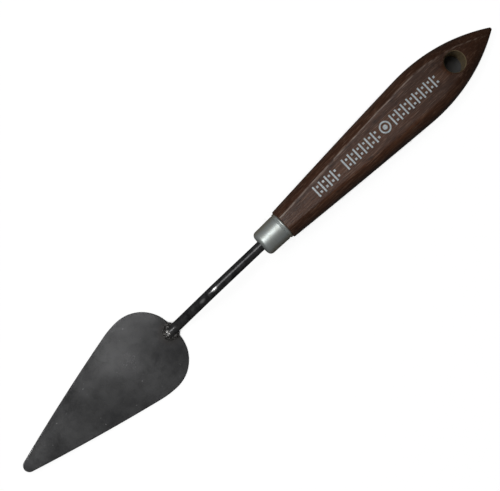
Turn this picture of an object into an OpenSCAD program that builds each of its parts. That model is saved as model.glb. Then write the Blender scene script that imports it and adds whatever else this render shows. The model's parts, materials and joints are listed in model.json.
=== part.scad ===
// Cranked palette knife with a trowel-shaped blade.
// A steel blade is welded to a bent round neck, whose tang is glued into a
// wooden handle behind a drawn metal ferrule.
//
// Frame: the blade lies flat on Z = 0 and points to -X, the handle runs to +X,
// and X = 0 is half-way along the whole knife. Millimetres.

/* [Blade] */
// Length of the blade, tip to heel
blade_l = 68.4; // [55:0.1:90]
// Greatest width of the blade, across its shoulders
blade_w = 30; // [24:1:40]
// Thickness of the spring-steel sheet
blade_t = 0.6; // [0.4:0.1:1.2]
// Radius of the blunt tip
blade_tip_r = 2.2; // [1:0.1:3]
// Width of the flat heel between the two shoulders
heel_w = 4.9; // [4.6:0.1:7]
// Radius of the slightly bowed long flanks
flank_r = 780; // [300:10:2000]
// Radius of the belly, between a flank and a shoulder
belly_r = 31; // [20:1:40]

/* [Neck] */
// Diameter of the round steel rod
rod_d = 3.5; // [3:0.1:4.2]
// Length of neck that shows between the blade's heel and the ferrule
neck_l = 40; // [34:0.5:60]
// Height that the crank lifts the handle above the blade
crank_drop = 10; // [7:0.5:13]
// Slope of the crank against the blade
crank_angle = 31; // [26:1:42]
// Radius of each bend, to the middle of the rod
bend_r = 6; // [4:0.5:7]
// Length of the rod's end that lies on the blade
lap_l = 3.4; // [2.6:0.1:6]
// Depth of the flat ground on the rod where it lies on the blade
lap_flat = 0.4; // [0.2:0.05:0.7]
// Distance from the start of the lower bend back to the heel
bend_setback = 0.7; // [0:0.1:1.4]
// Length of tang held in the wooden handle
tang_l = 44; // [25:1:55]
// Chamfer on both ends of the rod
rod_chamfer = 0.5; // [0.2:0.1:0.9]

/* [Weld] */
// Height of the weld bead above the blade
bead_h = 1.8; // [0.8:0.1:2.2]
// How far the bead reaches out on each side of the rod
bead_side = 1.05; // [0.6:0.05:1.4]
// How far the bead runs past the rod's end, and past the heel
bead_run = 1; // [0.5:0.1:1.4]

/* [Ferrule] */
// Length of the ferrule
ferrule_l = 10; // [7:0.5:14]
// Outer diameter at the front, behind the rounded edge
ferrule_d = 9.2; // [8:0.1:11]
// How much wider the ferrule is just ahead of its rolled lip
ferrule_flare = 0.3; // [0:0.1:0.6]
// How far the rolled lip stands out from the wall
lip_proud = 0.25; // [0.1:0.05:0.4]
// Length of the rolled lip
lip_l = 0.9; // [0.6:0.1:1.5]
// Thickness of the drawn metal
ferrule_t = 0.4; // [0.3:0.05:0.5]
// Outside radius of the rounded front edge
ferrule_edge_r = 1.6; // [0.8:0.1:2]

/* [Handle] */
// Length of handle that shows behind the ferrule
handle_l = 95.6; // [80:0.1:130]
// Greatest width of the handle, at its belly
handle_w = 19.1; // [15:0.1:24]
// Greatest thickness of the handle, at its belly
handle_t = 11; // [10.8:0.1:14]
// How far the wood stands out past the lip on each side
side_step = 0.45; // [0.3:0.05:1]
// How far the wood stands out past the lip above and below
top_step = 0.35; // [0.3:0.05:0.8]
// Distance in from each side to the flat on top and underneath
flat_inset = 3.3; // [2:0.1:4.5]
// Length from the widest point to the pointed end
nose_l = 32.6; // [26:0.1:45]
// Length over which the handle thins to the pointed end
thinning_l = 25; // [20:0.5:40]
// Radius of the slightly bowed long sides
side_r = 3400; // [1500:100:9000]
// Radius of the very slightly bowed top and underside
top_r = 20000; // [17000:1000:60000]
// Radius of the blunt point at the end
nose_tip_r = 0.7; // [0.4:0.1:1.2]
// Rounding of the front edge
front_edge_r = 0.3; // [0.1:0.05:0.4]

/* [Hanging hole] */
// Diameter of the hole
hole_d = 7.2; // [4:0.1:8]
// Distance from the hole's centre to the pointed end
hole_setback = 17.8; // [15:0.1:22]
// Depth of each eased rim, at the hole's centre
rim_depth = 0.8; // [0.3:0.1:1.5]
// How far each rim widens for every millimetre above the straight wall
rim_flare = 0.5; // [0.2:0.1:1]

/* [Fits] */
// Clearance round the rod in the front of the ferrule
neck_gap = 0.1; // [0.05:0.01:0.15]
// Clearance between the ferrule and the wooden spigot, all round
spigot_gap = 0.05; // [0.02:0.01:0.1]
// Space between the spigot's end and the ferrule's rounded front
spigot_end_gap = 0.2; // [0.1:0.1:1]
// Depth drilled past the end of the tang
drill_spare = 1.5; // [0.5:0.1:3]
// Thickness of the glue round the tang
glue_t = 0.25; // [0.15:0.05:0.4]
// Clearance between the glue and what it bonds
glue_gap = 0.02; // [0.01:0.01:0.03]

/* [Hidden] */

curve_fn = 96;
eps = 0.01;

// Stations along X.
overall_l = blade_l + neck_l + ferrule_l + handle_l;
tip_x = -overall_l / 2;
heel_x = tip_x + blade_l;
ferrule_x = heel_x + neck_l;
handle_x = ferrule_x + ferrule_l;
end_x = handle_x + handle_l;

// Heights.
rod_r = rod_d / 2;
lap_z = blade_t + rod_r - lap_flat;
axis_z = lap_z + crank_drop;

// The crank: two equal bends with a straight slope between them.
bend_rise = bend_r * (1 - cos(crank_angle));
bend_run = bend_r * sin(crank_angle);
slope_l = (crank_drop - 2 * bend_rise) / sin(crank_angle);
lower_bend_x = heel_x - bend_setback;
upper_bend_x = lower_bend_x + 2 * bend_run + slope_l * cos(crank_angle);
rod_end_x = heel_x - lap_l;
tang_end_x = handle_x + tang_l;
bend_steps = 7;
rod_points = 32;

// The blade's outline is a chain of arcs, each tangent to the next.
shoulder_r = (blade_w - heel_w) / 2;
widest_x = heel_x - shoulder_r;
tip_c = [tip_x + blade_tip_r, 0];
belly_c = [widest_x, blade_w / 2 - belly_r];
shoulder_c = [widest_x, blade_w / 2 - shoulder_r];

// The weld bead's width where it meets the blade.
bead_w = rod_d + 2 * bead_side;

// The ferrule's diameters, its bore, and the spigot that fills it.
ferrule_rear_d = ferrule_d + ferrule_flare;
lip_d = ferrule_rear_d + 2 * lip_proud;
ferrule_bore_r = ferrule_d / 2 - ferrule_t;
spigot_r = ferrule_bore_r - spigot_gap;
spigot_x = ferrule_x + ferrule_edge_r + spigot_end_gap;
tang_bore_r = rod_r + glue_t;
tang_bore_end_x = tang_end_x + drill_spare;

hole_x = end_x - hole_setback;

// The handle's front stands out past the ferrule's lip.
front_w = lip_d + 2 * side_step;
front_t = lip_d + 2 * top_step;

// The handle's plan and its profile are each a bowed side, then one arc over the
// fullest point to the blunt tip. Both are given by half their size at the front,
// half their greatest size, the length of the arc, and the radius of the side.
plan = [front_w / 2, handle_w / 2, nose_l, side_r];
profile = [front_t / 2, handle_t / 2, thinning_l, top_r];

// How finely the lofts are divided.
flank_rings = 5;
nose_rings = 22;
tip_rings = 4;
ring_points = 40;
// Half the size of the tiny flat that closes the handle's point.
point_flat = 0.1;

// Points along an arc about c, from angle a0 to a1.
function arc(c, r, a0, a1, steps) =
    [for (i = [0:steps]) c + r * [cos(a0 + (a1 - a0) * i / steps), sin(a0 + (a1 - a0) * i / steps)]];

// Centre of an arc of radius r that closes over two circles and touches both.
function closing_centre(c0, r0, c1, r1, r) =
    let (span = norm(c1 - c0))
    let (dir = (c1 - c0) / span)
    let (along = ((r - r0) ^ 2 - (r - r1) ^ 2 + span ^ 2) / (2 * span))
    let (across = sqrt((r - r0) ^ 2 - along ^ 2))
    c0 + along * dir + across * [dir[1], -dir[0]];

function heading(from, to) = atan2(to[1] - from[1], to[0] - from[0]);

// One side of the blade, from the tip round to the heel.
function blade_side() =
    let (flank_c = closing_centre(tip_c, blade_tip_r, belly_c, belly_r, flank_r))
    let (tip_a = heading(flank_c, tip_c))
    let (belly_a = heading(flank_c, belly_c))
    concat(
        arc(tip_c, blade_tip_r, 180, tip_a, 8),
        arc(flank_c, flank_r, tip_a, belly_a, 8),
        arc(belly_c, belly_r, belly_a, 90, 4),
        arc(shoulder_c, shoulder_r, 90, 0, 16)
    );

// Drops the points that repeat where one arc takes over from the last.
function without_repeats(pts) =
    [for (i = [0:len(pts) - 1]) if (i == 0 || norm(pts[i] - pts[i - 1]) > eps) pts[i]];

function mirrored(pts) = [for (i = [len(pts) - 1:-1:1]) [pts[i][0], -pts[i][1]]];

module blade_plate() {
    side = without_repeats(blade_side());
    linear_extrude(blade_t)
        polygon(concat(side, mirrored(side)));
}

module blade() {
    color("#45474a")
        blade_plate();
}

// Faces between ring r of n points and the next ring, split into triangles.
function ring_faces(r, n) =
    [for (i = [0:n - 1])
        let (j = (i + 1) % n)
        let (a = r * n)
        let (b = a + n)
        each [[a + i, b + i, a + j], [a + j, b + i, b + j]]];

// A closed solid through a row of sections that all have as many points.
module loft(sections) {
    n = len(sections[0]);
    last = (len(sections) - 1) * n;
    polyhedron(
        points = [for (s = sections) each s],
        faces = concat(
            [[for (i = [0:n - 1]) i]],
            [for (r = [0:len(sections) - 2]) each ring_faces(r, n)],
            [[for (i = [n - 1:-1:0]) last + i]]
        )
    );
}

// A round bar along +X that starts at the origin.
module bar(l, r) {
    rotate([0, 90, 0])
        cylinder(h = l, r = r, $fn = curve_fn);
}

// A round section of the rod at a place in the XZ plane, square to the rod's slope.
function rod_section(x, z, slope, r) =
    [for (i = [0:rod_points - 1])
        let (a = 360 * i / rod_points)
        [x - r * sin(a) * sin(slope), r * cos(a), z + r * sin(a) * cos(slope)]];

// Sections from the rod's end on the blade, up the crank, to the end of the tang.
function rod_sections() =
    concat(
        [rod_section(rod_end_x, lap_z, 0, rod_r - rod_chamfer)],
        [rod_section(rod_end_x + rod_chamfer, lap_z, 0, rod_r)],
        [for (i = [0:bend_steps])
            let (a = crank_angle * i / bend_steps)
            rod_section(lower_bend_x + bend_r * sin(a), lap_z + bend_r * (1 - cos(a)), a, rod_r)],
        [for (i = [bend_steps:-1:0])
            let (a = crank_angle * i / bend_steps)
            rod_section(upper_bend_x - bend_r * sin(a), axis_z - bend_r * (1 - cos(a)), a, rod_r)],
        [rod_section(tang_end_x - rod_chamfer, axis_z, 0, rod_r)],
        [rod_section(tang_end_x, axis_z, 0, rod_r - rod_chamfer)]
    );

module ground_rod() {
    flat_l = lap_l + rod_d * 2;
    difference() {
        loft(rod_sections());
        translate([rod_end_x - rod_d, -rod_d, blade_t - rod_d])
            cube([flat_l, 2 * rod_d, rod_d]);
    }
}

module neck_rod() {
    color("#2b2c2f")
        ground_rod();
}

// Half of the bead's section: radius from an axis below the blade, against X.
function bead_profile() =
    let (cap_r = (bead_w ^ 2 / 4 + bead_h ^ 2) / (2 * bead_h))
    let (round_r = bead_w / 2)
    let (front_x = rod_end_x - bead_run + round_r)
    let (back_x = heel_x + bead_run)
    concat(
        [[0, front_x - round_r]],
        [for (a = [180:-10:90]) [cap_r - bead_h * (1 - sin(a)), front_x + round_r * cos(a)]],
        [[cap_r - bead_h / 4, heel_x]],
        [[cap_r - bead_h, back_x]],
        [[0, back_x]]
    );

// A low bead round the rod's end, as a slice of a wide solid of revolution.
module bead_blank() {
    cap_r = (bead_w ^ 2 / 4 + bead_h ^ 2) / (2 * bead_h);
    intersection() {
        translate([0, 0, blade_t + bead_h - cap_r])
            rotate([0, 90, 0])
                rotate_extrude($fn = curve_fn)
                    polygon(bead_profile());
        translate([rod_end_x - 2 * bead_w, -bead_w, 0])
            cube([lap_l + 4 * bead_w, 2 * bead_w, blade_t + 2 * bead_h]);
    }
}

module weld_bead() {
    color("#5a5550")
        difference() {
            bead_blank();
            blade_plate();
            ground_rod();
        }
}

// Half of the ferrule's wall, as radius against distance from its front face.
function ferrule_wall() =
    let (front_r = ferrule_d / 2)
    let (inner_edge_r = ferrule_edge_r - ferrule_t)
    concat(
        [[rod_r + neck_gap, 0]],
        arc([front_r - ferrule_edge_r, ferrule_edge_r], ferrule_edge_r, -90, 0, 8),
        [[ferrule_rear_d / 2, ferrule_l - lip_l]],
        arc([lip_d / 2 - lip_l / 2, ferrule_l - lip_l / 2], lip_l / 2, -45, 60, 6),
        [[lip_d / 2 - lip_l / 3, ferrule_l]],
        [[ferrule_bore_r, ferrule_l]],
        arc([front_r - ferrule_edge_r, ferrule_edge_r], inner_edge_r, 0, -90, 6),
        [[rod_r + neck_gap, ferrule_t]]
    );

module ferrule() {
    color("#9aa09b")
        translate([ferrule_x, 0, axis_z])
            rotate([0, 90, 0])
                rotate_extrude($fn = curve_fn)
                    polygon(ferrule_wall());
}

// Radius of the arc from the fullest point to the blunt tip.
function nose_arc_r(form) =
    let (run = form[2] - nose_tip_r)
    (run ^ 2 + form[1] ^ 2 - nose_tip_r ^ 2) / (2 * (form[1] - nose_tip_r));

// Half the handle's size, at distance d from its front.
function half_size(d, form) =
    let (nose_r = nose_arc_r(form))
    let (nose_c = [handle_l - form[2], form[1] - nose_r])
    let (side_c = closing_centre([0, form[0]], 0, nose_c, nose_r, form[3]))
    let (side_end = nose_c + nose_r * (nose_c - side_c) / (form[3] - nose_r))
    let (c = d < side_end[0] ? side_c : nose_c)
    let (r = d < side_end[0] ? form[3] : nose_r)
    c[1] + sqrt(r ^ 2 - (d - c[0]) ^ 2);

// Distance from the front at which a nose arc meets the blunt tip's sphere.
function nose_end(form) =
    let (r = nose_arc_r(form))
    handle_l - form[2] + r * (form[2] - nose_tip_r) / (r - nose_tip_r);

// A section of the handle: flat above and below, with bowed sides that meet the
// flats at a soft edge. Each quarter has as many points.
function section(d, half_w, half_t) =
    let (inset = min(flat_inset, 0.9 * half_w, half_t))
    let (r = (inset ^ 2 + half_t ^ 2) / (2 * inset))
    let (top_a = asin(half_t / r))
    let (n = ring_points / 4)
    let (quarter = [for (i = [0:n - 1])
        let (a = top_a * (i + 0.5) / (n - 0.5))
        [half_w - r + r * cos(a), r * sin(a)]])
    concat(
        [for (i = [0:n - 1]) [handle_x + d, quarter[i][0], axis_z + quarter[i][1]]],
        [for (i = [n - 1:-1:0]) [handle_x + d, -quarter[i][0], axis_z + quarter[i][1]]],
        [for (i = [0:n - 1]) [handle_x + d, -quarter[i][0], axis_z - quarter[i][1]]],
        [for (i = [n - 1:-1:0]) [handle_x + d, quarter[i][0], axis_z - quarter[i][1]]]
    );

function body_section(d) = section(d, half_size(d, plan), half_size(d, profile));

function edge_section(a) =
    let (d = front_edge_r * (1 - cos(a)))
    let (inset = front_edge_r * (1 - sin(a)))
    section(d, front_w / 2 - inset, front_t / 2 - inset);

// Sections from the front edge to the blunt point.
function handle_sections() =
    let (last_d = nose_end(plan))
    let (shoulder_d = handle_l - 1.25 * nose_l)
    let (tip_start = acos((last_d - handle_l + nose_tip_r) / nose_tip_r))
    concat(
        [for (a = [0:30:60]) edge_section(a)],
        [for (i = [0:flank_rings]) body_section(front_edge_r + (shoulder_d - front_edge_r) * i / flank_rings)],
        [for (i = [1:nose_rings]) body_section(shoulder_d + (last_d - shoulder_d) * i / nose_rings)],
        [for (i = [1:tip_rings - 1])
            let (a = tip_start * (1 - i / tip_rings))
            section(handle_l - nose_tip_r * (1 - cos(a)), nose_tip_r * sin(a), nose_tip_r * sin(a))],
        [section(handle_l, point_flat, point_flat)]
    );

// The hanging hole, with a rim that widens above each end of its straight wall.
module hanging_hole() {
    half_wall = half_size(handle_l - hole_setback, profile) - rim_depth;
    rim_h = handle_t;
    translate([hole_x, 0, axis_z]) {
        cylinder(h = 2 * handle_t, r = hole_d / 2, center = true, $fn = curve_fn);
        for (side = [0, 1])
            mirror([0, 0, side])
                translate([0, 0, half_wall])
                    cylinder(h = rim_h, r1 = hole_d / 2, r2 = hole_d / 2 + rim_h * rim_flare, $fn = curve_fn);
    }
}

module handle() {
    color("#3d261c")
        difference() {
            union() {
                loft(handle_sections());
                translate([spigot_x, 0, axis_z])
                    bar(handle_x - spigot_x + 1, spigot_r);
            }
            hanging_hole();
            translate([spigot_x - 1, 0, axis_z])
                bar(tang_bore_end_x - spigot_x + 1, tang_bore_r);
        }
}

// The set glue that fills the bore round the tang.
module tang_glue() {
    color("#b89a5c")
        translate([spigot_x, 0, axis_z])
            difference() {
                bar(tang_end_x - rod_chamfer - spigot_x, tang_bore_r - glue_gap);
                translate([-1, 0, 0])
                    bar(tang_end_x - spigot_x + 2, rod_r + glue_gap);
            }
}

blade();
neck_rod();
weld_bead();
ferrule();
handle();
tang_glue();
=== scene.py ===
import json
import math

import bmesh
import bpy
from mathutils import Matrix, Vector


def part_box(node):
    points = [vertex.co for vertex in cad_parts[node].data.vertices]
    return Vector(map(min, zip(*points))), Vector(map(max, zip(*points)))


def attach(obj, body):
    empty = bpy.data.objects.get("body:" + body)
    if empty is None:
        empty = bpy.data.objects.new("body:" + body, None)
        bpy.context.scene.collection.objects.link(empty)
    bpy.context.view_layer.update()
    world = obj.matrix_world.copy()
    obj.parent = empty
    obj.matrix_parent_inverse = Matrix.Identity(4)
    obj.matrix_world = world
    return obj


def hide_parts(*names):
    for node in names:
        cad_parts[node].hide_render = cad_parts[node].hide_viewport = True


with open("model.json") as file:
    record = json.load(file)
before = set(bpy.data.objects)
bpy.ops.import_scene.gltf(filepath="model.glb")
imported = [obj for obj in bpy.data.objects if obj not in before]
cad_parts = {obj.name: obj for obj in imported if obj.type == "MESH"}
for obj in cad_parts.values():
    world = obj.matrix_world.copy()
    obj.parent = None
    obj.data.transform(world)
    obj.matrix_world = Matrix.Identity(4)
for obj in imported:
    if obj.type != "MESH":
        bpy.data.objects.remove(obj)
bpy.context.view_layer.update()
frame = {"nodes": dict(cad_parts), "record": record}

# A cranked palette knife: steel blade, bent round neck, drawn ferrule and a
# varnished wooden handle. +X runs from the blade's tip to the handle's point.

MM = 0.001

# ---------------------------------------------------------------- sizes

# Two points this close are one, and a point this close to a plane lies in it.
MERGE_REACH = 0.002 * MM
PLANE_REACH = 0.001 * MM

# Places that the frame gives.
blade_lo, blade_hi = (Vector(c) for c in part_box("blade"))
rod_lo, rod_hi = (Vector(c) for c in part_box("neck_rod"))
ferrule_lo, ferrule_hi = (Vector(c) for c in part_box("ferrule"))
handle_lo, handle_hi = (Vector(c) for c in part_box("handle"))
HOLE = frame["record"]["mounts"][0]

BLADE_TOP = blade_hi.z
HEEL_X = blade_hi.x
ROD_R = (rod_hi.y - rod_lo.y) / 2
AXIS_Z = rod_hi.z - ROD_R
FERRULE_L = ferrule_hi.x - ferrule_lo.x
LIP_R = (ferrule_hi.y - ferrule_lo.y) / 2
FRONT_X = ferrule_hi.x
HANDLE_L = handle_hi.x - FRONT_X
HANDLE_HALF_W = handle_hi.y
HANDLE_HALF_T = handle_hi.z - AXIS_Z
HOLE_X = HOLE["pos_m"][0]
HOLE_R = HOLE["dims"]["r_mm"] * MM
HOLE_HALF_WALL = HOLE["dims"]["length_mm"] * MM / 2

# The easing of the blade's rim.
BLADE_BEVEL = 0.26 * MM

# The neck's crank.
LAP_SINK = 0.4 * MM
ROD_CHAMFER = 0.5 * MM
BEND_R = 6 * MM
BEND_SETBACK = 0.7 * MM
CRANK_ANGLE = math.radians(31)
LAP_Z = BLADE_TOP + ROD_R - LAP_SINK

# The weld: one lump over the rod's end and one across the heel. Each reaches past this place.
WELD_X = HEEL_X - 2 * MM
END_LUMP_REACH = 1.6 * MM
END_LUMP_HALF_W = 2.3 * MM
END_LUMP_H = 3.3 * MM
HEEL_LUMP_REACH = 1.2 * MM
HEEL_LUMP_H = 2.3 * MM
# How far the lump across the heel goes beyond the frame's bead, along the rod and sideways.
HEEL_LUMP_BACK = 0.2 * MM
HEEL_LUMP_SIDE = 0.4 * MM
# How the lumps are run together and made uneven, and how high their underside is.
WELD_VOXEL = 0.11 * MM
RIPPLE_SIZE = 1.3 * MM
RIPPLE_H = 0.8 * MM
WELD_BASE = 0.03 * MM

# The ferrule, and the groove that sets off its lip.
FERRULE_FRONT_R = 4.6 * MM
FERRULE_REAR_R = 4.75 * MM
FERRULE_EDGE_R = 1.6 * MM
FERRULE_T = 0.4 * MM
FERRULE_HOLE_GAP = 0.1 * MM
FERRULE_HOLE_EASE = 0.08 * MM
LIP_L = 0.9 * MM
GROOVE_DEPTH = 0.14 * MM

# The handle: half its size at the front, and the lengths of its two nose arcs.
FRONT_HALF_W = 5.45 * MM
FRONT_HALF_T = 5.35 * MM
NOSE_L = 32.6 * MM
THINNING_L = 25 * MM
NOSE_TIP_R = 0.7 * MM
SIDE_R = 3400 * MM
TOP_R = 20000 * MM
FLAT_INSET = 3.3 * MM
FRONT_EDGE_R = 0.3 * MM
# A point beyond this share of the half thickness is on a flat.
ON_FLAT = 0.9995
# Where the half width is under this, towards the point, the whole section narrows.
NARROW_HALF_W = FLAT_INSET / 0.9
SPIGOT_R = 4.15 * MM
SPIGOT_L = 8.2 * MM
SPIGOT_CHAMFER = 0.4 * MM
TANG_BORE_R = 2 * MM
HOLE_RIM_R = 1.3 * MM

# How finely round and long shapes are divided.
ROD_SIDES = 64
BEND_STEPS = 14
TURNED_SIDES = 128
HANDLE_SIDES = 96
HOLE_SIDES = 96
BORE_SIDES = 48
BODY_RINGS = 45

# ---------------------------------------------------------------- modelling helpers


def nothing_selected():
    """Leaves edit mode and deselects every object, because operators act on all that is selected."""
    if bpy.context.mode != "OBJECT":
        bpy.ops.object.mode_set(mode="OBJECT")
    bpy.ops.object.select_all(action="DESELECT")


def activate(piece):
    """Makes a piece the only selected object, and the active one."""
    nothing_selected()
    piece.select_set(True)
    bpy.context.view_layer.objects.active = piece


def edit(piece, mode="VERT"):
    """Opens a piece in edit mode with all of it selected."""
    activate(piece)
    bpy.ops.object.mode_set(mode="EDIT")
    bpy.ops.mesh.select_mode(type=mode)
    bpy.ops.mesh.select_all(action="SELECT")


def finish_edit(piece):
    """Merges doubles, turns the normals outwards and leaves edit mode."""
    bpy.ops.mesh.select_all(action="SELECT")
    bpy.ops.mesh.remove_doubles(threshold=MERGE_REACH)
    bpy.ops.mesh.normals_make_consistent(inside=False)
    bpy.ops.object.mode_set(mode="OBJECT")
    return piece


def name_new(name):
    """Names the primitive that was just added and puts its place into its mesh."""
    piece = bpy.context.object
    piece.name = name
    piece.data.name = name
    bpy.ops.object.transform_apply(location=True, rotation=True, scale=True)
    return piece


def select_verts(piece, wanted):
    """Selects exactly the vertices whose place passes a test, and the edges and faces between them."""
    mesh = bmesh.from_edit_mesh(piece.data)
    for vert in mesh.verts:
        vert.select = wanted(vert.co)
    mesh.select_flush(True)
    mesh.select_flush(False)
    bmesh.update_edit_mesh(piece.data)


def select_faces(piece, wanted):
    """Selects exactly the faces that pass a test."""
    bpy.ops.mesh.select_mode(type="FACE")
    mesh = bmesh.from_edit_mesh(piece.data)
    for face in mesh.faces:
        face.select_set(wanted(face))
    bmesh.update_edit_mesh(piece.data)


def add_ring(name, x, z, radius, sides):
    """A ring of vertices square to X."""
    nothing_selected()
    bpy.ops.mesh.primitive_circle_add(
        vertices=sides, radius=radius, fill_type="NOTHING",
        location=(x, 0, z), rotation=(0, math.pi / 2, 0))
    return name_new(name)


def extrude(dx, dz=0.0):
    """Extrudes what is selected along X, and upwards too on a slope."""
    bpy.ops.mesh.extrude_region_move(TRANSFORM_OT_translate={"value": (dx, 0, dz)})


def scale_ring(factor, centre):
    """Scales the selected ring about a centre, square to X."""
    bpy.ops.transform.resize(value=(1, factor, factor), center_override=centre)


def cut_below(height):
    """Cuts off what is selected and lies below a height, and closes the cut."""
    bpy.ops.mesh.bisect(
        plane_co=(0, 0, height), plane_no=(0, 0, 1),
        use_fill=True, clear_inner=True, threshold=PLANE_REACH)


def turned(name, rings, z, sides=TURNED_SIDES, closed=False):
    """A solid turned about a line along X, from rings given as (x, radius).

    A closed one is a wall whose last ring meets its first."""
    piece = add_ring(name, rings[0][0], z, rings[0][1], sides)
    edit(piece)
    for (x0, r0), (x1, r1) in zip(rings, rings[1:] + rings[:1] * closed):
        extrude(x1 - x0)
        scale_ring(r1 / r0, (x1, 0, z))
    if not closed:
        bpy.ops.mesh.select_all(action="SELECT")
        bpy.ops.mesh.fill_holes(sides=0)
    return finish_edit(piece)


def arc(cx, cr, radius, start, end, steps):
    """Points (x, r) on an arc about (cx, cr), its angles in degrees from +X."""
    angles = [math.radians(start + (end - start) * i / steps) for i in range(steps + 1)]
    return [(cx + radius * math.cos(a), cr + radius * math.sin(a)) for a in angles]


def apply_modifier(piece, kind, **settings):
    """Adds a modifier with its settings, and applies it."""
    activate(piece)
    modifier = piece.modifiers.new(kind.title(), kind)
    for key, value in settings.items():
        setattr(modifier, key, value)
    bpy.ops.object.modifier_apply(modifier=modifier.name)


def combine(piece, other, operation):
    """Unites a piece with another, or takes the other away from it."""
    apply_modifier(piece, "BOOLEAN", object=other, operation=operation, solver="EXACT")


def join(parts):
    """Joins objects into the first of them."""
    activate(parts[0])
    for part in parts[1:]:
        part.select_set(True)
    bpy.ops.object.join()
    return bpy.context.object


def smooth(piece, angle):
    """Shades a piece smooth, except across edges sharper than an angle in degrees."""
    activate(piece)
    bpy.ops.object.shade_smooth_by_angle(angle=math.radians(angle))


def place(piece, material, slot, *nodes):
    """Gives a finished piece its material and body, and hides the CAD nodes it stands for. The slot is not
    used.
    """
    piece.data.materials.clear()
    piece.data.materials.append(material)
    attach(piece, "root")
    if nodes:
        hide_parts(*nodes)


# ---------------------------------------------------------------- blade and neck


def make_blade():
    """The blade: the frame's own outline with its faces joined up and its rim eased."""
    source = frame["nodes"]["blade"]
    piece = source.copy()
    piece.data = source.data.copy()
    piece.name = "blade_leaf"
    piece.data.name = "blade_leaf"
    bpy.context.scene.collection.objects.link(piece)
    piece.parent = None
    piece.matrix_world = Matrix.Identity(4)
    edit(piece)
    bpy.ops.mesh.remove_doubles(threshold=MERGE_REACH)
    bpy.ops.mesh.dissolve_limited(angle_limit=math.radians(0.05))
    mesh = bmesh.from_edit_mesh(piece.data)
    for edge in mesh.edges:
        rim = len(edge.link_faces) == 2 and edge.calc_face_angle() > math.radians(80)
        edge.select_set(rim and abs(edge.verts[0].co.z - edge.verts[1].co.z) < 0.01 * MM)
    bmesh.update_edit_mesh(piece.data)
    bpy.ops.mesh.bevel(offset=BLADE_BEVEL, segments=3, profile=0.6, affect="EDGES")
    finish_edit(piece)
    smooth(piece, 35)
    edit(piece)
    select_faces(piece, lambda face: abs(face.normal.z) > 0.999)
    bpy.ops.mesh.faces_shade_flat()
    bpy.ops.object.mode_set(mode="OBJECT")
    return piece


def make_neck():
    """The rod: lap on the blade, two bends with a slope between them, and the straight tang."""
    run = BEND_R * math.sin(CRANK_ANGLE)
    rise = BEND_R * (1 - math.cos(CRANK_ANGLE))
    slope_rise = AXIS_Z - LAP_Z - 2 * rise
    slope_run = slope_rise / math.tan(CRANK_ANGLE)
    lower_x = HEEL_X - BEND_SETBACK
    upper_x = lower_x + 2 * run + slope_run
    body_factor = ROD_R / (ROD_R - ROD_CHAMFER)

    piece = add_ring("neck_bar", rod_lo.x, LAP_Z, ROD_R - ROD_CHAMFER, ROD_SIDES)
    edit(piece)
    extrude(ROD_CHAMFER)
    scale_ring(body_factor, (rod_lo.x + ROD_CHAMFER, 0, LAP_Z))
    extrude(lower_x - rod_lo.x - ROD_CHAMFER)
    bpy.ops.mesh.spin(
        steps=BEND_STEPS, angle=CRANK_ANGLE, center=(lower_x, 0, LAP_Z + BEND_R), axis=(0, 1, 0))
    extrude(slope_run, slope_rise)
    bpy.ops.mesh.spin(
        steps=BEND_STEPS, angle=CRANK_ANGLE, center=(upper_x, 0, AXIS_Z - BEND_R), axis=(0, -1, 0))
    extrude(rod_hi.x - ROD_CHAMFER - upper_x)
    extrude(ROD_CHAMFER)
    scale_ring(1 / body_factor, (rod_hi.x, 0, AXIS_Z))
    bpy.ops.mesh.select_all(action="SELECT")
    bpy.ops.mesh.fill_holes(sides=0)
    bpy.ops.mesh.select_all(action="SELECT")
    cut_below(BLADE_TOP)
    finish_edit(piece)
    smooth(piece, 25)
    return piece


def add_lump(name, lo_x, hi_x, half_w, height):
    """A smooth lump of weld on the blade, as an ellipsoid."""
    nothing_selected()
    bpy.ops.mesh.primitive_uv_sphere_add(
        segments=64, ring_count=32, radius=1, location=((lo_x + hi_x) / 2, 0, BLADE_TOP))
    bpy.context.object.scale = ((hi_x - lo_x) / 2, half_w, height)
    return name_new(name)


def make_weld(blade, neck):
    """The weld: one lump over the rod's end and one across the heel, run together and uneven."""
    lo, hi = (Vector(c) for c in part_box("weld_bead"))
    piece = add_lump("weld_fillet", lo.x, WELD_X + END_LUMP_REACH, END_LUMP_HALF_W, END_LUMP_H)
    heel_lump = add_lump(
        "heel_lump", WELD_X - HEEL_LUMP_REACH, hi.x + HEEL_LUMP_BACK, hi.y + HEEL_LUMP_SIDE, HEEL_LUMP_H)
    combine(piece, heel_lump, "UNION")
    bpy.data.objects.remove(heel_lump)
    apply_modifier(piece, "REMESH", mode="VOXEL", voxel_size=WELD_VOXEL)
    ripples = bpy.data.textures.new("weld_ripples", "CLOUDS")
    ripples.noise_scale = RIPPLE_SIZE
    ripples.noise_depth = 2
    apply_modifier(
        piece, "DISPLACE", texture=ripples, texture_coords="LOCAL", strength=RIPPLE_H, mid_level=0.5)
    edit(piece)
    cut_below(WELD_BASE)
    finish_edit(piece)
    for other in (blade, neck):
        combine(piece, other, "DIFFERENCE")
    edit(piece)
    finish_edit(piece)
    smooth(piece, 60)
    return piece


# ---------------------------------------------------------------- ferrule and handle


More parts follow.
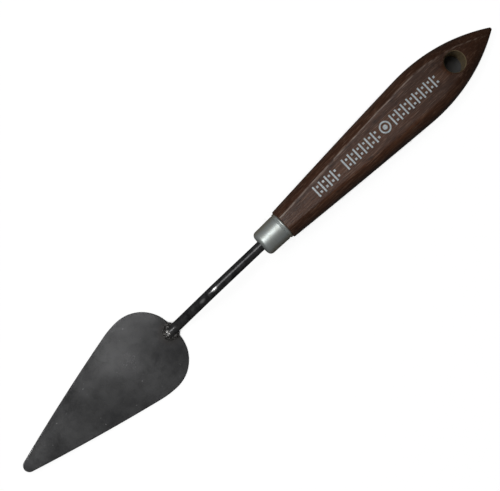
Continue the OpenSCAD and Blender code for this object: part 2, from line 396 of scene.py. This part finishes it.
def make_ferrule():
    """The drawn cup: hole, rounded front edge, slight taper, groove, rolled lip, and the bore inside."""
    x0 = ferrule_lo.x
    edge_r = FERRULE_FRONT_R - FERRULE_EDGE_R
    bore_r = FERRULE_FRONT_R - FERRULE_T
    hole_r = ROD_R + FERRULE_HOLE_GAP
    lip_x = x0 + FERRULE_L - LIP_L / 2
    rings = [(x0 + FERRULE_HOLE_EASE, hole_r), (x0, hole_r + FERRULE_HOLE_EASE)]
    rings += arc(x0 + FERRULE_EDGE_R, edge_r, FERRULE_EDGE_R, 180, 90, 12)
    # Close rings beside the groove keep the shading of the long side even.
    rings += [(x0 + FERRULE_L - back * LIP_L, FERRULE_REAR_R) for back in (1.9, 1.75, 1.6)]
    rings += [(x0 + FERRULE_L - 1.3 * LIP_L, FERRULE_REAR_R - GROOVE_DEPTH)]
    rings += arc(lip_x, LIP_R - LIP_L / 2, LIP_L / 2, 155, 0, 12)
    rings += [(x0 + FERRULE_L, bore_r)]
    rings += arc(x0 + FERRULE_EDGE_R, edge_r, FERRULE_EDGE_R - FERRULE_T, 90, 180, 8)
    rings += [(x0 + FERRULE_T, hole_r)]
    piece = turned("ferrule_cup", rings, AXIS_Z, closed=True)
    smooth(piece, 40)
    return piece


def closing_centre(start, nose, nose_r, side_r):
    """Centre of the bowed side's arc, through a start point and touching the nose arc from outside."""
    gap = nose - start
    span = gap.length
    along = (side_r ** 2 - (side_r - nose_r) ** 2 + span ** 2) / (2 * span)
    across = math.sqrt(side_r ** 2 - along ** 2)
    heading = gap / span
    return start + along * heading + across * Vector((heading.y, -heading.x))


def half_size(d, front, fullest, nose_l, side_r):
    """Half the handle's size at distance d from its front: a bowed side, then one arc to the blunt tip."""
    run = nose_l - NOSE_TIP_R
    nose_r = (run ** 2 + fullest ** 2 - NOSE_TIP_R ** 2) / (2 * (fullest - NOSE_TIP_R))
    nose = Vector((HANDLE_L - nose_l, fullest - nose_r))
    side = closing_centre(Vector((0, front)), nose, nose_r, side_r)
    side_end = nose.x + nose_r * (nose.x - side.x) / (side_r - nose_r)
    centre, radius = (side, side_r) if d < side_end else (nose, nose_r)
    return centre.y + math.sqrt(max(radius ** 2 - (d - centre.x) ** 2, 0))


def handle_stations():
    """(distance, half width, half thickness) from the rounded front edge to the blunt point."""
    stations = []
    for angle in range(0, 90, 15):
        a = math.radians(angle)
        inset = FRONT_EDGE_R * (1 - math.sin(a))
        stations.append((FRONT_EDGE_R * (1 - math.cos(a)), FRONT_HALF_W - inset, FRONT_HALF_T - inset))
    last = HANDLE_L - NOSE_TIP_R * 0.5
    for i in range(BODY_RINGS):
        share = 1 - (1 - i / (BODY_RINGS - 1)) ** 1.5
        d = FRONT_EDGE_R + (last - FRONT_EDGE_R) * share
        half_w = half_size(d, FRONT_HALF_W, HANDLE_HALF_W, NOSE_L, SIDE_R)
        half_t = half_size(d, FRONT_HALF_T, HANDLE_HALF_T, THINNING_L, TOP_R)
        stations.append((d, half_w, half_t))
    blunt = stations[-1][1]
    for angle in (25, 50, 70, 85):
        a = math.radians(angle)
        d = last + (HANDLE_L - last) * math.sin(a)
        stations.append((d, blunt * math.cos(a), blunt * math.cos(a)))
    return stations


def resize_at(x, y_factor, z_factor):
    """Scales what is selected about the handle's line, across and up."""
    bpy.ops.transform.resize(value=(1, y_factor, z_factor), center_override=(x, 0, AXIS_Z))


def flatten_front(piece, half_w, half_t):
    """Turns the front face's round outer ring into the handle's section: flats joined by bowed sides."""
    side_r = (FLAT_INSET ** 2 + half_t ** 2) / (2 * FLAT_INSET)
    edge_y = side_r - FLAT_INSET
    extrude(0)
    resize_at(FRONT_X, side_r / SPIGOT_R, side_r / SPIGOT_R)

    def on_ring(co):
        beyond_spigot = math.hypot(co.y, co.z - AXIS_Z) > SPIGOT_R * 1.05
        return abs(co.x - FRONT_X) < PLANE_REACH and beyond_spigot

    def on_side(co):
        return on_ring(co) and abs(co.z - AXIS_Z) < half_t * ON_FLAT

    for side in (1, -1):
        select_verts(piece, lambda co: on_ring(co) and (co.z - AXIS_Z) * side > half_t)
        bpy.ops.transform.resize(value=(1, 1, 0), center_override=(FRONT_X, 0, AXIS_Z + side * half_t))
    select_verts(piece, lambda co: on_ring(co) and abs(co.z - AXIS_Z) > half_t * ON_FLAT)
    resize_at(FRONT_X, (half_w - FLAT_INSET) / edge_y, 1)
    for side in (1, -1):
        select_verts(piece, lambda co: on_side(co) and co.y * side > 0)
        bpy.ops.transform.translate(value=(0, side * (half_w - side_r), 0))
    select_verts(piece, on_ring)


def next_ring(piece, x, before, after):
    """Extrudes the end ring and reshapes it from one (distance, half width, half thickness) to the next.

    The sides keep their bow and move apart or together. Near the point, where there is no
    room for that, the whole ring narrows."""
    d0, w0, t0 = before
    d1, w1, t1 = after
    extrude(d1 - d0)
    if w1 < NARROW_HALF_W:
        resize_at(x, w1 / w0, t1 / t0)
        return
    resize_at(x, 1, t1 / t0)

    def on_flat(co):
        return abs(co.z - AXIS_Z) > t1 * ON_FLAT

    def on_ring(co):
        return abs(co.x - x) < PLANE_REACH

    select_verts(piece, lambda co: on_ring(co) and on_flat(co))
    resize_at(x, (w1 - FLAT_INSET) / (w0 - FLAT_INSET), 1)
    for side in (1, -1):
        select_verts(piece, lambda co: on_ring(co) and not on_flat(co) and co.y * side > 0)
        bpy.ops.transform.translate(value=(0, side * (w1 - w0), 0))
    select_verts(piece, on_ring)


def make_handle():
    """The wooden handle: a spigot, then sections that are flat above and below with bowed sides."""
    stations = handle_stations()
    start_x = FRONT_X - SPIGOT_L
    start_r = SPIGOT_R - SPIGOT_CHAMFER
    piece = add_ring("handle_wood", start_x, AXIS_Z, start_r, HANDLE_SIDES)
    edit(piece)
    bpy.ops.transform.rotate(
        value=math.pi / HANDLE_SIDES, orient_axis="X", center_override=(start_x, 0, AXIS_Z))
    extrude(SPIGOT_CHAMFER)
    resize_at(start_x, SPIGOT_R / start_r, SPIGOT_R / start_r)
    extrude(SPIGOT_L - SPIGOT_CHAMFER)
    flatten_front(piece, stations[0][1], stations[0][2])
    for before, after in zip(stations, stations[1:]):
        next_ring(piece, FRONT_X + after[0], before, after)
    bpy.ops.mesh.select_all(action="SELECT")
    bpy.ops.mesh.fill_holes(sides=0)
    finish_edit(piece)
    drill_hole(piece)
    smooth(piece, 40)
    note_crease(piece)
    return piece


def note_crease(handle):
    """Writes on the mesh how far each point is from the crease where the upper flat meets a side."""
    noted = handle.data.attributes.new("crease_distance", "FLOAT", "POINT")
    for vert, value in zip(handle.data.vertices, noted.data):
        d = max(vert.co.x - FRONT_X, 0)
        half_w = half_size(d, FRONT_HALF_W, HANDLE_HALF_W, NOSE_L, SIDE_R)
        half_t = half_size(d, FRONT_HALF_T, HANDLE_HALF_T, THINNING_L, TOP_R)
        value.value = math.hypot(vert.co.y - (half_w - FLAT_INSET), vert.co.z - AXIS_Z - half_t)


def drill_hole(handle):
    """Cuts the hanging hole with rounded rims, and the drilled bore for the tang."""
    # The rim's arc starts in line with the hole's wall and stops just short of square to it.
    steps = [HOLE_RIM_R * i / 10 * 0.98 for i in range(11)]
    rim = [(HOLE_HALF_WALL + t, HOLE_R + HOLE_RIM_R - math.sqrt(HOLE_RIM_R ** 2 - t ** 2)) for t in steps]
    rim.append((HANDLE_HALF_T * 1.5, rim[-1][1] + 2 * MM))
    rings = [(-x, r) for x, r in reversed(rim)] + rim
    cutter = turned("hole_cutter", rings, 0, HOLE_SIDES)
    activate(cutter)
    cutter.rotation_euler = (0, math.pi / 2, 0)
    cutter.location = (HOLE_X, 0, AXIS_Z)
    bpy.ops.object.transform_apply(location=True, rotation=True, scale=True)
    bore_rings = [(FRONT_X - SPIGOT_L - MM, TANG_BORE_R), (rod_hi.x + MM, TANG_BORE_R)]
    bore = turned("bore_cutter", bore_rings, AXIS_Z, BORE_SIDES)
    for tool in (cutter, bore):
        combine(handle, tool, "DIFFERENCE")
        bpy.data.objects.remove(tool)


# ---------------------------------------------------------------- foil ornament

FOIL_H = 4.2 * MM
FOIL_PITCH = 2.6 * MM
FOIL_BAR_W = 0.6 * MM
FOIL_DOT = 0.75 * MM
FOIL_T = 0.02 * MM
# How far the ornament is off the handle's line, to +Y.
FOIL_Y = 0.15 * MM
# Where each run of bars starts, as a distance from the handle's front, and how many it has.
FOIL_RUNS = [(14.9 * MM, 4), (27.9 * MM, 6), (49.4 * MM, 8)]
# The plain ring: its middle's distance, its radius and width, and the gap round the spot.
FOIL_RING_D = 45.9 * MM
FOIL_RING_R = 2.1 * MM
FOIL_RING_W = 0.55 * MM
FOIL_RING_GAP = 0.7 * MM
# The flat shapes start this high, clear of the wood, and are then laid on it.
FOIL_START_Z = handle_hi.z + MM


def add_patch(name, x, y, length, width, cuts):
    """A flat rectangle above the handle, divided across so that it can follow the wood."""
    nothing_selected()
    bpy.ops.mesh.primitive_grid_add(
        x_subdivisions=2, y_subdivisions=cuts, size=1, location=(x, y, FOIL_START_Z))
    piece = bpy.context.object
    piece.name = name
    piece.scale = (length, width, 1)
    bpy.ops.object.transform_apply(location=True, rotation=True, scale=True)
    return piece


def make_foil_run(start, count):
    """A run of tall bars with a pair of small squares after each."""
    x = FRONT_X + start
    parts = [add_patch("foil_bar", x, FOIL_Y, FOIL_BAR_W, FOIL_H, 12)]
    for side in (-1, 1):
        y = FOIL_Y + side * FOIL_H / 4
        parts.append(add_patch("foil_dot", x + FOIL_PITCH / 2, y, FOIL_DOT, FOIL_DOT, 4))
    run = join(parts)
    apply_modifier(
        run, "ARRAY", count=count, use_relative_offset=False,
        use_constant_offset=True, constant_offset_displace=(FOIL_PITCH, 0, 0))
    return run


def make_foil_ring():
    """A plain ring with a round spot in it, between the runs of bars."""
    nothing_selected()
    middle = Vector((FRONT_X + FOIL_RING_D, FOIL_Y, FOIL_START_Z))
    bpy.ops.mesh.primitive_circle_add(
        vertices=48, radius=FOIL_RING_R, fill_type="NGON", location=middle)
    ring = name_new("foil_ring")
    edit(ring, "FACE")
    bpy.ops.mesh.inset(thickness=FOIL_RING_W)
    bpy.ops.mesh.inset(thickness=FOIL_RING_GAP)
    gap_hi = FOIL_RING_R - FOIL_RING_W
    gap_lo = gap_hi - FOIL_RING_GAP
    select_faces(ring, lambda f: gap_lo < (f.calc_center_median() - middle).xy.length < gap_hi)
    bpy.ops.mesh.delete(type="FACE")
    bpy.ops.object.mode_set(mode="OBJECT")
    return ring


def make_foil(handle):
    """The stamped foil ornament, laid on the wood and given its own slight thickness."""
    parts = [make_foil_run(start, count) for start, count in FOIL_RUNS]
    parts.append(make_foil_ring())
    foil = join(parts)
    foil.name = "foil_ornament"
    foil.data.name = "foil_ornament"
    apply_modifier(
        foil, "SHRINKWRAP", target=handle, wrap_method="PROJECT", use_project_z=True,
        use_negative_direction=True, use_positive_direction=False, offset=FOIL_T)
    apply_modifier(foil, "SOLIDIFY", thickness=FOIL_T, offset=0)
    edit(foil)
    finish_edit(foil)
    return foil


# ---------------------------------------------------------------- materials

# A colour mix node's sockets, in the node's own order.
MIX_INPUTS = (0, 6, 7)
MIX_OUTPUT = 2


class Paint:
    """A material's node tree, with short calls that add and link nodes."""

    def __init__(self, name):
        self.material = bpy.data.materials.new(name)
        self.material.use_nodes = True
        self.tree = self.material.node_tree
        self.shader = self.tree.nodes["Principled BSDF"]
        self.place = self.add("ShaderNodeTexCoord").outputs["Object"]

    def add(self, kind, **settings):
        node = self.tree.nodes.new(kind)
        for key, value in settings.items():
            setattr(node, key, value)
        return node

    def link(self, source, target):
        self.tree.links.new(source, target)

    def set(self, **values):
        """Sets constants on the shader's own sockets; underscores stand for spaces."""
        for key, value in values.items():
            self.shader.inputs[key.replace("_", " ")].default_value = value

    def stretched(self, scale, turn=(0, 0, 0)):
        """The object's own coordinates, scaled on each axis and turned."""
        mapping = self.add("ShaderNodeMapping")
        mapping.inputs["Scale"].default_value = scale
        mapping.inputs["Rotation"].default_value = turn
        self.link(self.place, mapping.inputs["Vector"])
        return mapping.outputs["Vector"]

    def noise(self, vector, scale, detail=4.0, roughness=0.55):
        node = self.add("ShaderNodeTexNoise")
        node.inputs["Scale"].default_value = scale
        node.inputs["Detail"].default_value = detail
        node.inputs["Roughness"].default_value = roughness
        self.link(vector, node.inputs["Vector"])
        return node.outputs["Fac"]

    def ramp(self, value, stops):
        """Colours a value, from stops given as (place, colour)."""
        node = self.add("ShaderNodeValToRGB")
        while len(node.color_ramp.elements) < len(stops):
            node.color_ramp.elements.new(0.5)
        for element, (at, color) in zip(node.color_ramp.elements, stops):
            element.position = at
            element.color = (*color, 1)
        self.link(value, node.inputs["Fac"])
        return node.outputs["Color"]

    def range(self, value, low, high, to_low, to_high):
        """Carries a value from one range to another, and holds it at the ends."""
        node = self.add("ShaderNodeMapRange")
        ends = {"From Min": low, "From Max": high, "To Min": to_low, "To Max": to_high}
        for socket, number in ends.items():
            node.inputs[socket].default_value = number
        self.link(value, node.inputs["Value"])
        return node.outputs["Result"]

    def mix(self, factor, first, second):
        """Mixes two colours. Each of them and the factor may be a constant or a node's output."""
        node = self.add("ShaderNodeMix", data_type="RGBA")
        for index, value in zip(MIX_INPUTS, (factor, first, second)):
            socket = node.inputs[index]
            if isinstance(value, (int, float)):
                socket.default_value = value
            elif isinstance(value, tuple):
                socket.default_value = (*value, 1)
            else:
                self.link(value, socket)
        return node.outputs[MIX_OUTPUT]

    def math(self, operation, first, second):
        node = self.add("ShaderNodeMath", operation=operation)
        for socket, value in zip(node.inputs, (first, second)):
            if isinstance(value, (int, float)):
                socket.default_value = value
            else:
                self.link(value, socket)
        return node.outputs[0]

    def distance(self, point, flatten=(1, 1, 1)):
        """Distance from a point, with each axis scaled by flatten and so left out where that is 0."""
        mapping = self.add("ShaderNodeMapping")
        mapping.inputs["Location"].default_value = [-p * f for p, f in zip(point, flatten)]
        mapping.inputs["Scale"].default_value = flatten
        self.link(self.place, mapping.inputs["Vector"])
        length = self.add("ShaderNodeVectorMath", operation="LENGTH")
        self.link(mapping.outputs["Vector"], length.inputs[0])
        return length.outputs["Value"]

    def color(self, output):
        self.link(output, self.shader.inputs["Base Color"])

    def rough(self, output):
        self.link(output, self.shader.inputs["Roughness"])

    def bump(self, height, distance, strength):
        """Adds a bump on top of the ones that are there already."""
        node = self.add("ShaderNodeBump")
        node.inputs["Distance"].default_value = distance
        node.inputs["Strength"].default_value = strength
        self.link(height, node.inputs["Height"])
        if self.shader.inputs["Normal"].is_linked:
            self.link(self.shader.inputs["Normal"].links[0].from_socket, node.inputs["Normal"])
        self.link(node.outputs["Normal"], self.shader.inputs["Normal"])


# Painted highlights on the blade: lighter patches of steel that stand for the lights' reflection. Each is x,
# y, reach and strength.
BLADE_PAINTED_HIGHLIGHTS = [
    (-62 * MM, 8.5 * MM, 8 * MM, 0.25),
    (-100.5 * MM, 2 * MM, 6 * MM, 0.85),
    (-50 * MM, -9 * MM, 9 * MM, 0.12),
]
# Painted glints on the neck, near its upper bend: x, y and strength.
NECK_PAINTED_GLINTS = [
    (-19.7 * MM, 0.05 * MM, 1),
    (-25.2 * MM, 0, 0.4),
]


def blade_steel():
    """Satin spring steel: cloudy polish, blotches, a few specks and scratches, painted highlights as lighter
    patches, and a darker, warmer tone round the weld.
    """
    paint = Paint("satin_blade_steel")
    paint.set(Metallic=0.66)
    clouds = paint.noise(paint.place, 42, 3, 0.5)
    steel = paint.ramp(clouds, [(0.35, (0.11, 0.11, 0.112)), (0.68, (0.12, 0.12, 0.122))])
    # Painted highlights: the steel is made lighter in patches where the lights' reflection falls.
    for x, y, reach, share in BLADE_PAINTED_HIGHLIGHTS:
        painted_highlight = paint.range(paint.distance((x, y, 0), (1, 0.8, 0)), 0, reach, share, 0)
        steel = paint.mix(painted_highlight, steel, (0.26, 0.26, 0.262))
    blotches = paint.noise(paint.place, 420, 6, 0.7)
    steel = paint.mix(paint.range(blotches, 0.48, 0.7, 0, 0.4), steel, (0.08, 0.08, 0.082))
    specks = paint.range(paint.noise(paint.place, 900, 2, 0.4), 0.74, 0.8, 0, 0.6)
    steel = paint.mix(specks, steel, (0.4, 0.4, 0.4))
    # A darker, warmer tone within a few millimetres of the weld.
    near_weld = paint.distance((HEEL_X - 1.8 * MM, 0, BLADE_TOP))
    round_weld_tone = paint.range(near_weld, 2.6 * MM, 5 * MM, 0.4, 0)
    paint.color(paint.mix(round_weld_tone, steel, (0.09, 0.075, 0.065)))
    satin = paint.range(clouds, 0.35, 0.68, 0.13, 0.25)
    paint.rough(paint.math("ADD", satin, paint.range(blotches, 0.3, 0.7, 0.04, 0)))
    lines = paint.noise(paint.stretched((1, 9, 1), (0, 0, math.radians(24))), 220, 5, 0.6)
    paint.bump(lines, 0.004 * MM, 0.6)
    paint.bump(blotches, 0.012 * MM, 0.6)
    paint.bump(clouds, 0.1 * MM, 0.1)
    return paint.material


def neck_steel():
    """Dark oiled rod, with draw lines along it and two painted glints near its upper bend."""
    paint = Paint("dark_neck_steel")
    paint.set(Metallic=0.6, Specular_IOR_Level=0.2)
    patches = paint.noise(paint.place, 420, 5, 0.65)
    steel = paint.ramp(patches, [(0.35, (0.05, 0.05, 0.052)), (0.7, (0.15, 0.15, 0.153))])
    # Painted glints: the steel is made almost white in two small spots where the lamp's reflection falls.
    for x, y, share in NECK_PAINTED_GLINTS:
        painted_glint = paint.range(paint.distance((x, y, 0), (0.5, 1, 0)), 0.2 * MM, 0.7 * MM, share, 0)
        steel = paint.mix(painted_glint, steel, (0.95, 0.95, 0.95))
    paint.color(steel)
    paint.rough(paint.range(patches, 0.3, 0.7, 0.24, 0.34))
    paint.bump(paint.noise(paint.stretched((0.05, 1, 1)), 1500, 4), 0.012 * MM, 0.6)
    paint.bump(patches, 0.03 * MM, 0.2)
    return paint.material


def weld_metal():
    """Weld metal: dark scale between bright ripples."""
    paint = Paint("weld_metal")
    paint.set(Metallic=0.8)
    ripples = paint.noise(paint.place, 1300, 4, 0.6)
    paint.color(paint.ramp(ripples, [
        (0.42, (0.09, 0.085, 0.08)),
        (0.52, (0.3, 0.29, 0.28)),
        (0.6, (0.9, 0.88, 0.86))]))
    paint.rough(paint.range(ripples, 0.4, 0.62, 0.45, 0.2))
    paint.bump(ripples, 0.25 * MM, 0.9)
    return paint.material


def ferrule_metal():
    """Satin nickel on a drawn cup: fine rings round it, patches of tarnish, and a painted reflection that
    makes its sides warmer and darker.
    """
    paint = Paint("satin_ferrule")
    paint.set(Metallic=0.72)
    rings = paint.noise(paint.stretched((1, 0.04, 0.04)), 5200, 4, 0.6)
    tarnish = paint.noise(paint.place, 420, 5, 0.6)
    metal = paint.ramp(rings, [(0.3, (0.78, 0.84, 0.82)), (0.7, (0.9, 0.97, 0.95))])
    metal = paint.mix(paint.range(tarnish, 0.45, 0.8, 0, 0.5), metal, (0.62, 0.6, 0.45))
    # Painted reflection: where the cup's sides turn away to either side in Y, it is tinted warm and darker.
    sides = paint.range(paint.distance((0, 0, 0), (0, 1, 0)), 3 * MM, 4.9 * MM, 0, 0.85)
    paint.color(paint.mix(sides, metal, (0.6, 0.52, 0.34)))
    paint.rough(paint.range(tarnish, 0.3, 0.7, 0.42, 0.5))
    paint.bump(rings, 0.01 * MM, 0.4)
    return paint.material


def handle_wood():
    """Dark stained hardwood under satin varnish, with a painted highlight as a pale line along the upper
    crease.

    Towards the point the colour darkens and the varnish thins. The drilled hole shows bare wood."""
    paint = Paint("stained_handle_wood")
    paint.set(Coat_Roughness=0.36, Specular_IOR_Level=0.3)
    figure = paint.noise(paint.stretched((1, 14, 9), (0, 0, math.radians(1.5))), 16, 6, 0.6)
    wood_colour = paint.ramp(figure, [
        (0.28, (0.045, 0.016, 0.007)),
        (0.5, (0.105, 0.039, 0.017)),
        (0.68, (0.19, 0.077, 0.035))])
    fibres = paint.noise(paint.stretched((1, 18, 18)), 150, 6, 0.75)
    wood_colour = paint.mix(paint.range(fibres, 0.52, 0.64, 0, 0.75), wood_colour, (0.36, 0.22, 0.15))
    pores = paint.noise(paint.stretched((1, 13, 13)), 330, 3, 0.55)
    wood_colour = paint.mix(paint.range(pores, 0.54, 0.66, 0, 0.85), wood_colour, (0.02, 0.008, 0.004))
    # Painted highlight: a pale, broken line along the upper crease on the +Y side, standing for light caught
    # by the edge.
    crease = paint.add("ShaderNodeAttribute", attribute_name="crease_distance").outputs["Fac"]
    crease_highlight = paint.range(paint.noise(paint.stretched((1, 6, 6)), 260, 3), 0.42, 0.62, 0, 1)
    crease_highlight = paint.math("MULTIPLY", paint.range(crease, 0.08 * MM, 0.4 * MM, 0.8, 0), crease_highlight)
    wood_colour = paint.mix(crease_highlight, wood_colour, (0.55, 0.42, 0.34))
    # Darker towards the point, where the varnish is also thinner.
    far_end = paint.range(paint.distance((0, 0, 0), (1, 0, 0)), 60 * MM, 104 * MM, 0, 0.62)
    wood_colour = paint.mix(far_end, wood_colour, (0.035, 0.013, 0.005))
    from_hole = paint.distance((HOLE_X, 0, 0), (1, 1, 0))
    bare = paint.range(from_hole, HOLE_R + 0.1 * MM, HOLE_R + 0.3 * MM, 1, 0)
    bare_wood = paint.ramp(fibres, [(0.3, (0.22, 0.165, 0.09)), (0.7, (0.42, 0.33, 0.19))])
    paint.color(paint.mix(bare, wood_colour, bare_wood))
    paint.link(paint.range(far_end, 0, 0.62, 0.66, 0.25), paint.shader.inputs["Coat Weight"])
    paint.rough(paint.range(fibres, 0.3, 0.7, 0.34, 0.5))
    paint.bump(pores, 0.1 * MM, 0.6)
    paint.bump(fibres, 0.1 * MM, 0.7)
    paint.link(paint.shader.inputs["Normal"].links[0].from_socket, paint.shader.inputs["Coat Normal"])
    return paint.material


def stamped_foil():
    """Silver-grey foil, a little worn in streaks along the handle."""
    paint = Paint("stamped_foil")
    paint.set(Metallic=0.4)
    wear = paint.noise(paint.stretched((1, 4, 4)), 700, 5, 0.7)
    paint.color(paint.ramp(wear, [(0.3, (0.5, 0.545, 0.57)), (0.6, (0.88, 0.95, 0.98))]))
    paint.rough(paint.range(wear, 0.3, 0.7, 0.5, 0.34))
    return paint.material


def set_glue():
    """Amber resin, a little cloudy."""
    paint = Paint("set_glue")
    clouds = paint.noise(paint.place, 900, 4, 0.6)
    paint.color(paint.ramp(clouds, [(0.3, (0.3, 0.2, 0.08)), (0.7, (0.45, 0.33, 0.16))]))
    paint.rough(paint.range(clouds, 0.3, 0.7, 0.4, 0.6))
    return paint.material


# ---------------------------------------------------------------- stage

# The floor's side, its gap under the knife, and how far off the lights are, in metres.
FLOOR_SIZE = 6
FLOOR_GAP = 0.02 * MM
LIGHT_DISTANCE = 0.9

# The camera: how far it is turned over the knife, how it leans, what it looks at and from how far.
VIEW_TURN = math.radians(43.39)
VIEW_LEAN_X = math.radians(-2.9)
VIEW_LEAN_Y = math.radians(-1.47)
VIEW_TARGET = Vector((-0.96, 2.69, 6)) * MM
VIEW_DISTANCE = 450 * MM
LENS_MM = 97.1
SENSOR_MM = 36


def floor_material():
    """A pale light table. Its glow shows to the eye only, and fades where the knife shuts it in, which
    paints a shadow under the knife and in its hole.
    """
    paint = Paint("light_table")
    paint.set(Base_Color=(0.12, 0.12, 0.12, 1), Roughness=0.9, Specular_IOR_Level=0.0)
    paint.set(Emission_Color=(1, 1, 1, 1))
    path = paint.add("ShaderNodeLightPath")
    # Painted shadow: the glow fades to nothing where little of the room is open, close under the knife and
    # through its hanging hole.
    openness = paint.add("ShaderNodeAmbientOcclusion", samples=8)
    openness.inputs["Distance"].default_value = 30 * MM
    glow = paint.range(openness.outputs["AO"], 0.42, 0.5, 0, 0.96)
    seen_glow = paint.math("MULTIPLY", glow, path.outputs["Is Camera Ray"])
    paint.link(seen_glow, paint.shader.inputs["Emission Strength"])
    return paint.material


def make_floor():
    """A plain floor that the knife lies on, at a hair's gap from the blade's heel and the handle's belly."""
    lowest_x = HANDLE_L - THINNING_L + FRONT_X
    tilt = math.atan2(handle_lo.z, lowest_x - HEEL_X)
    nothing_selected()
    bpy.ops.mesh.primitive_grid_add(
        x_subdivisions=8, y_subdivisions=8, size=FLOOR_SIZE,
        location=(HEEL_X, 0, -FLOOR_GAP), rotation=(0, -tilt, 0))
    floor = name_new("floor")
    floor.data.materials.append(floor_material())


def add_light(name, direction, size, power):
    """A square white soft box that faces the knife's middle."""
    light = bpy.data.lights.new(name, "AREA")
    light.shape = "SQUARE"
    light.size = size
    light.energy = power
    lamp = bpy.data.objects.new(name, light)
    lamp.location = Vector(direction).normalized() * LIGHT_DISTANCE
    lamp.rotation_euler = (-lamp.location).to_track_quat("-Z", "Y").to_euler()
    bpy.context.scene.collection.objects.link(lamp)


def make_world():
    """A dim, even room behind a pale backdrop: only the eye sees the backdrop."""
    world = bpy.data.worlds.new("studio")
    world.use_nodes = True
    nodes = world.node_tree.nodes
    path = nodes.new("ShaderNodeLightPath")
    shade = nodes.new("ShaderNodeMix")
    shade.data_type = "RGBA"
    factor, room, backdrop = (shade.inputs[index] for index in MIX_INPUTS)
    room.default_value = (0.055, 0.055, 0.056, 1)
    backdrop.default_value = (0.9, 0.9, 0.9, 1)
    world.node_tree.links.new(path.outputs["Is Camera Ray"], factor)
    world.node_tree.links.new(shade.outputs[MIX_OUTPUT], nodes["Background"].inputs["Color"])
    bpy.context.scene.world = world


def make_camera():
    """Looks down on the knife from a little to one side, with the handle up to the right."""
    back = Vector((math.tan(VIEW_LEAN_X), math.tan(VIEW_LEAN_Y), 1)).normalized()
    along_x = (Vector((1, 0, 0)) - back * back.x).normalized()
    along_y = back.cross(along_x)
    right = math.cos(VIEW_TURN) * along_x - math.sin(VIEW_TURN) * along_y
    up = math.sin(VIEW_TURN) * along_x + math.cos(VIEW_TURN) * along_y
    data = bpy.data.cameras.new("camera")
    data.sensor_fit = "HORIZONTAL"
    data.sensor_width = SENSOR_MM
    data.lens = LENS_MM
    data.clip_start = 0.01
    camera = bpy.data.objects.new("camera", data)
    turn = Matrix((right, up, back)).transposed().to_4x4()
    camera.matrix_world = Matrix.Translation(VIEW_TARGET + back * VIEW_DISTANCE) @ turn
    bpy.context.scene.collection.objects.link(camera)
    bpy.context.scene.camera = camera


# ---------------------------------------------------------------- the knife


make_camera()
blade_piece = make_blade()
neck_piece = make_neck()
wood_piece = make_handle()
foil_piece = make_foil(wood_piece)
place(make_weld(blade_piece, neck_piece), weld_metal(), "weld_metal", "weld_bead")
place(blade_piece, blade_steel(), "blade_steel", "blade")
place(neck_piece, neck_steel(), "neck_steel", "neck_rod")
place(make_ferrule(), ferrule_metal(), "ferrule_metal", "ferrule")
place(wood_piece, handle_wood(), "handle_wood", "handle")
place(foil_piece, stamped_foil(), "ferrule_metal")

glue_node = frame["nodes"]["tang_glue"]
glue_node.data.materials.clear()
glue_node.data.materials.append(set_glue())

make_floor()
make_world()
add_light("soft_box", (-0.05, 0.34, 1), size=0.34, power=1.65)
add_light("small_lamp", (-0.5, 0.3, 1), size=0.15, power=1.3)
bpy.context.scene.view_settings.view_transform = "Standard"
